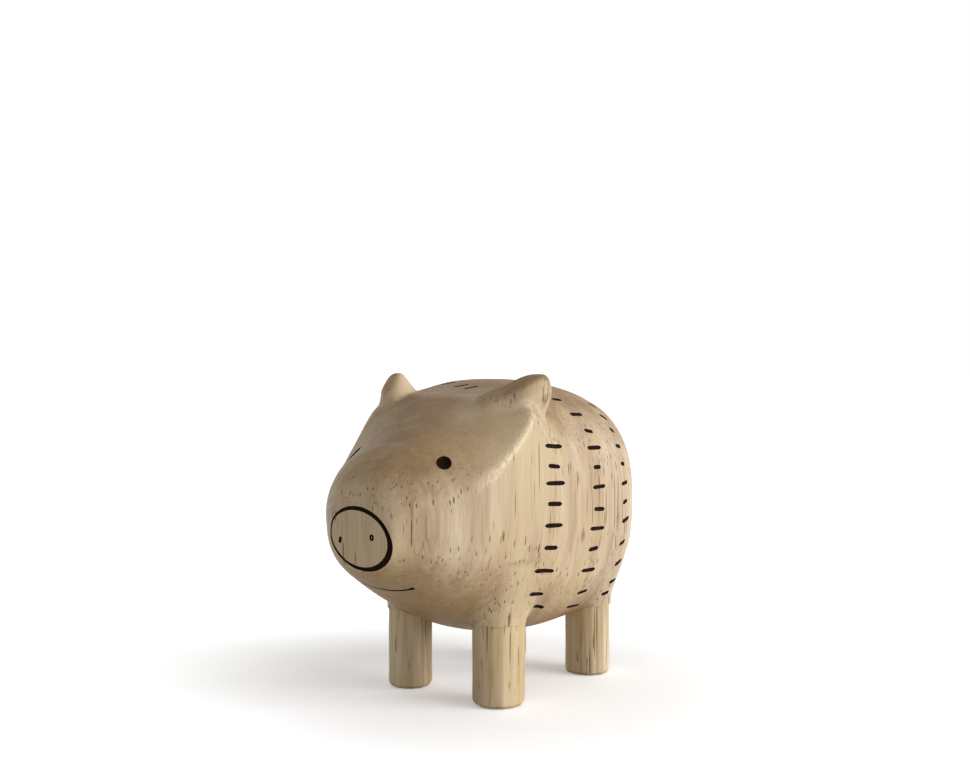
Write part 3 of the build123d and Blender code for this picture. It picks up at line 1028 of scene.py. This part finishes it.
# painted light: the forehead near the left ridge and the inner face of the right ear, made
# paler where they turn towards the lamp
PAINTED_LIGHT_MOST, PAINTED_LIGHT_WIDTH, PAINTED_LIGHT_SIDE, PAINTED_LIGHT_BACK = 0.62, 6.5, 2, -6
paler = PAINTED_LIGHT_MOST * fading(flank, PAINTED_LIGHT_WIDTH) * fading(cut, 0.6) * ramp(x, PAINTED_LIGHT_SIDE, 6)
paler *= ramp(y, RIDGE_FRONT, 8) * ramp(y, PAINTED_LIGHT_BACK, -4)
EAR_SIDE, EAR_ROOT = -11, 57.5
facing_left = outward(np.stack([x, y, z], -1))[:, 0]
ear_face = ramp(facing_left, 0, 0.5) * ramp(x, EAR_SIDE, -2) * ramp(z, EAR_ROOT, 2)
painted_light = np.maximum(paler, ear_face)
print((worn > 0.5).sum(), "vertices are more than half worn,", (painted_light > 0.5).sum(), "half sanded")

# %% How far from a ring's line
turned = np.degrees(np.arctan2(z - RING_AXIS, np.abs(x)))
offsets = []
for rows in (RING_FRONT, RING_MIDDLE, RING_HIND):
    rows = rows[rows[:, 0].argsort()]
    offsets.append(y - SNOUT - np.interp(turned, rows[:, 0], rows[:, 1]))
offsets = np.array(offsets)
nearest = np.abs(offsets).argmin(0)
to_ring = offsets[nearest, np.arange(len(x))]
for label, numbers in (("worn", worn), ("painted_light", painted_light), ("to_ring", to_ring)):
    layer = body.data.attributes.new(label, "FLOAT", "POINT")
    layer.data.foreach_set("value", numbers.astype(np.float32))
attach(body, "root")
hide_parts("body")
print("body", triangles(body), "triangles, materials", [m.name for m in body.data.materials])

# %% [markdown]
# ## The legs
# Each leg is a dowel that a knife has pared to a dozen or so soft flats, with a rounded foot.
# The flats could be cut one by one. A formula for a rounded polygon gives all of them at once.

# %% Pared flats
FACETS, CRISPNESS = 13, 70
WAVER_DEPTH, WAVER_TURN = 0.006, 0.55


def facets(turn, level, seed):
    """A rounded polygon: the radius is the p-norm of cos(turn - flat) / apothem over the
    flats, to the power -1. Each flat's direction, apothem and waver come from a fixed seed."""
    dice = np.random.default_rng(seed)
    heading = 2 * np.pi * (np.arange(FACETS) + dice.uniform(-0.22, 0.22, FACETS)) / FACETS
    apothem = dice.uniform(0.955, 0.985, FACETS)
    waver = dice.uniform(0, 2 * np.pi, FACETS)
    depth = apothem + WAVER_DEPTH * np.sin(level[..., None] * WAVER_TURN + waver)
    towards = np.maximum(np.cos(turn[..., None] - heading), 0) / depth
    return (towards**CRISPNESS).sum(-1) ** (-1 / CRISPNESS)


print(FACETS, "flats, about 1 to 5 % of the radius deep")

# %% [markdown]
# The foot is rounded, so that the leg stands on a small flat. The round tenon above the seam
# is hidden in the socket.

# %% Whittled legs
FOOT_ROUNDING, FOOT_FLATTER, FOOT_INSET = 1.3, 0.9, 1.2
TENON_CHAMFER, SEAM_STEP = 0.6, 0.02


def whittled(place, seed):
    """Rows from the middle of the foot up to the top of the tenon. Below the seam the radius
    is the polygon's, drawn in at the foot as a quarter circle; above it is round."""
    radius, seam, top = place["radius"], place["seam"], place["top"]
    quarter = np.linspace(0, np.pi / 2, 9)
    foot_levels = FOOT_ROUNDING * (1 - np.cos(quarter)) * FOOT_FLATTER
    foot_shrink = FOOT_ROUNDING * (1 - np.sin(quarter))
    shaft_levels = np.linspace(foot_levels[-1], seam - SEAM_STEP, 40)[1:]
    levels = np.concatenate([[0.0], foot_levels, shaft_levels, [seam, top - TENON_CHAMFER, top]])
    shrink = np.concatenate([
        [FOOT_ROUNDING + FOOT_INSET], foot_shrink, 0 * shaft_levels, [0, 0, TENON_CHAMFER],
    ])
    level, turn = np.meshgrid(levels, np.linspace(0, 2 * np.pi, 156, endpoint=False), indexing="ij")
    pared = facets(turn, level, seed)
    pared[levels >= seam] = 1.0
    across = radius * pared - shrink[:, None]
    x = place["at"][0] + across * np.cos(turn)
    y = place["at"][1] + across * np.sin(turn)
    return np.stack([x, y, level], -1)


for seed, (name, place) in enumerate(LEGS.items(), 3):
    leg = tube_mesh(name + "_whittled", whittled(place, seed)[None], (leg_wood,))
    leg.data.shade_smooth()
    leg.data.set_sharp_from_angle(angle=np.radians(40))
    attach(leg, "root")
    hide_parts(name)
    print(leg.name, triangles(leg), "triangles")

# %% [markdown]
# ## The tail
# The CAD's bent peg already has the right shape, so it stays and only gets the legs' wood.

# %% The tail's wood
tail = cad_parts["tail"]
for place in tail.material_slots:
    place.material = leg_wood
print("tail", triangles(tail), "triangles")

# %% [markdown]
# ## The room
# The photograph shows the pig on a white sweep, with one large soft light from the right and
# a little behind, and an even white room that fills the shadows. The floor and the room look
# white to the camera, to reflections and through glass, but light the wood at a plain level.

# %% The white room
scene = bpy.context.scene
scene.view_settings.view_transform = "Standard"
ROOM_LIGHT, ROOM_TINT = 0.36, (1.0, 0.97, 0.90, 1.0)
WHITE = linear("#ffffff")


def seen(tree):
    """1 for a ray from the camera, off a glossy surface or through glass, otherwise 0."""
    ray = add(tree, "LightPath").node.outputs
    total = add(tree, "Math", {0: ray["Is Camera Ray"], 1: ray["Is Glossy Ray"]}, operation="MAXIMUM")
    return add(tree, "Math", {0: total, 1: ray["Is Transmission Ray"]}, operation="MAXIMUM")


room = bpy.data.worlds.new("white_room")
tree = empty_tree(room)
shown = seen(tree)
level = add(tree, "MapRange", {"Value": shown, "To Min": ROOM_LIGHT, "To Max": 1.0})
tint = add(tree, "Mix", {"Factor": shown, "A": ROOM_TINT, "B": WHITE}, data_type="RGBA")
sky = add(tree, "Background", {"Color": tint, "Strength": level})
add(tree, "OutputWorld", {"Surface": sky})
scene.world = room
print("the room lights the wood with", ROOM_LIGHT, "of the brightness that it shows")

# %% [markdown]
# A sun with a wide angle gives soft light evenly over the whole floor, which a lamp of any
# size close by would not. It stands low at the right, a little behind the pig.

# %% The soft window
sun = bpy.data.lights.new("soft_window", "SUN")
sun.energy = 3.45
sun.color = (1.0, 0.98, 0.97)
sun.angle = np.radians(50)
lamp = bpy.data.objects.new("soft_window", sun)
from_side = np.array([0.92, 0.30, 0.17])
tilt = np.arccos(from_side[2] / np.linalg.norm(from_side))
lamp.rotation_euler = (0.0, tilt, np.arctan2(from_side[1], from_side[0]))
scene.collection.objects.link(lamp)
print(f"the light stands {90 - np.degrees(tilt):.0f} degrees above the floor")

# %% [markdown]
# The floor is white paper. Under the pig it shows the soft shadow, and farther out it has to
# become as white as the room, so a glow that only those rays see grows with the distance.

# %% The paper sweep
PAPER_SEEN = (1.13, 1.16, 1.23, 1.0)
GLOW_NEAR, GLOW_FAR = 30 * MM, 85 * MM
sweep = bpy.data.materials.new("white_paper_sweep")
tree = empty_tree(sweep)
shown = seen(tree)
white = add(tree, "Mix", {"Factor": shown, "A": linear("#f6f6f6"), "B": PAPER_SEEN}, data_type="RGBA")
paper = add(tree, "BsdfDiffuse", {"Color": white})
here = add(tree, "TexCoord", output="Object")
away = add(tree, "VectorMath", {0: here}, output="Value", operation="LENGTH")
glow = add(tree, "MapRange", {
    "Value": away, "From Min": GLOW_NEAR, "From Max": GLOW_FAR, "To Min": 0.28, "To Max": 0.60,
}, interpolation_type="SMOOTHSTEP")
glow = add(tree, "Math", {0: shown, 1: glow}, operation="MULTIPLY")
glow = add(tree, "Emission", {"Color": WHITE, "Strength": glow})
both = add(tree, "AddShader", {0: paper, 1: glow})
add(tree, "OutputMaterial", {"Surface": both})

EDGE = 6.0
corners = [(-EDGE, -EDGE, 0), (EDGE, -EDGE, 0), (EDGE, EDGE, 0), (-EDGE, EDGE, 0)]
floor_mesh = bpy.data.meshes.new("sweep")
floor_mesh.from_pydata(corners, [], [(0, 1, 2, 3)])
floor_mesh.materials.append(sweep)
floor = bpy.data.objects.new("sweep", floor_mesh)
scene.collection.objects.link(floor)
print("floor", 2 * EDGE, "metres square")

# %% [markdown]
# ## The camera
# The camera stands where the photographer stood: to the pig's front left, a little above it.
# Its place came from the mirrored pairs of features, such as the ear tips, eyes and feet.

# %% The camera
CAMERA_AT = (0.1593, -0.2055, 0.0677)
CAMERA_DOWN, CAMERA_TURN = 1.262, 38.084
camera = bpy.data.cameras.new("camera")
camera.lens = 45.893
camera.sensor_width = 36.0
camera.sensor_fit = "HORIZONTAL"
camera.clip_start = 0.01
view = bpy.data.objects.new("camera", camera)
view.location = CAMERA_AT
view.rotation_euler = (np.radians(90 - CAMERA_DOWN), 0.0, np.radians(CAMERA_TURN))
scene.collection.objects.link(view)
scene.camera = view
print(f"the camera is {np.linalg.norm(CAMERA_AT) * 1000:.0f} mm from the pig's origin")
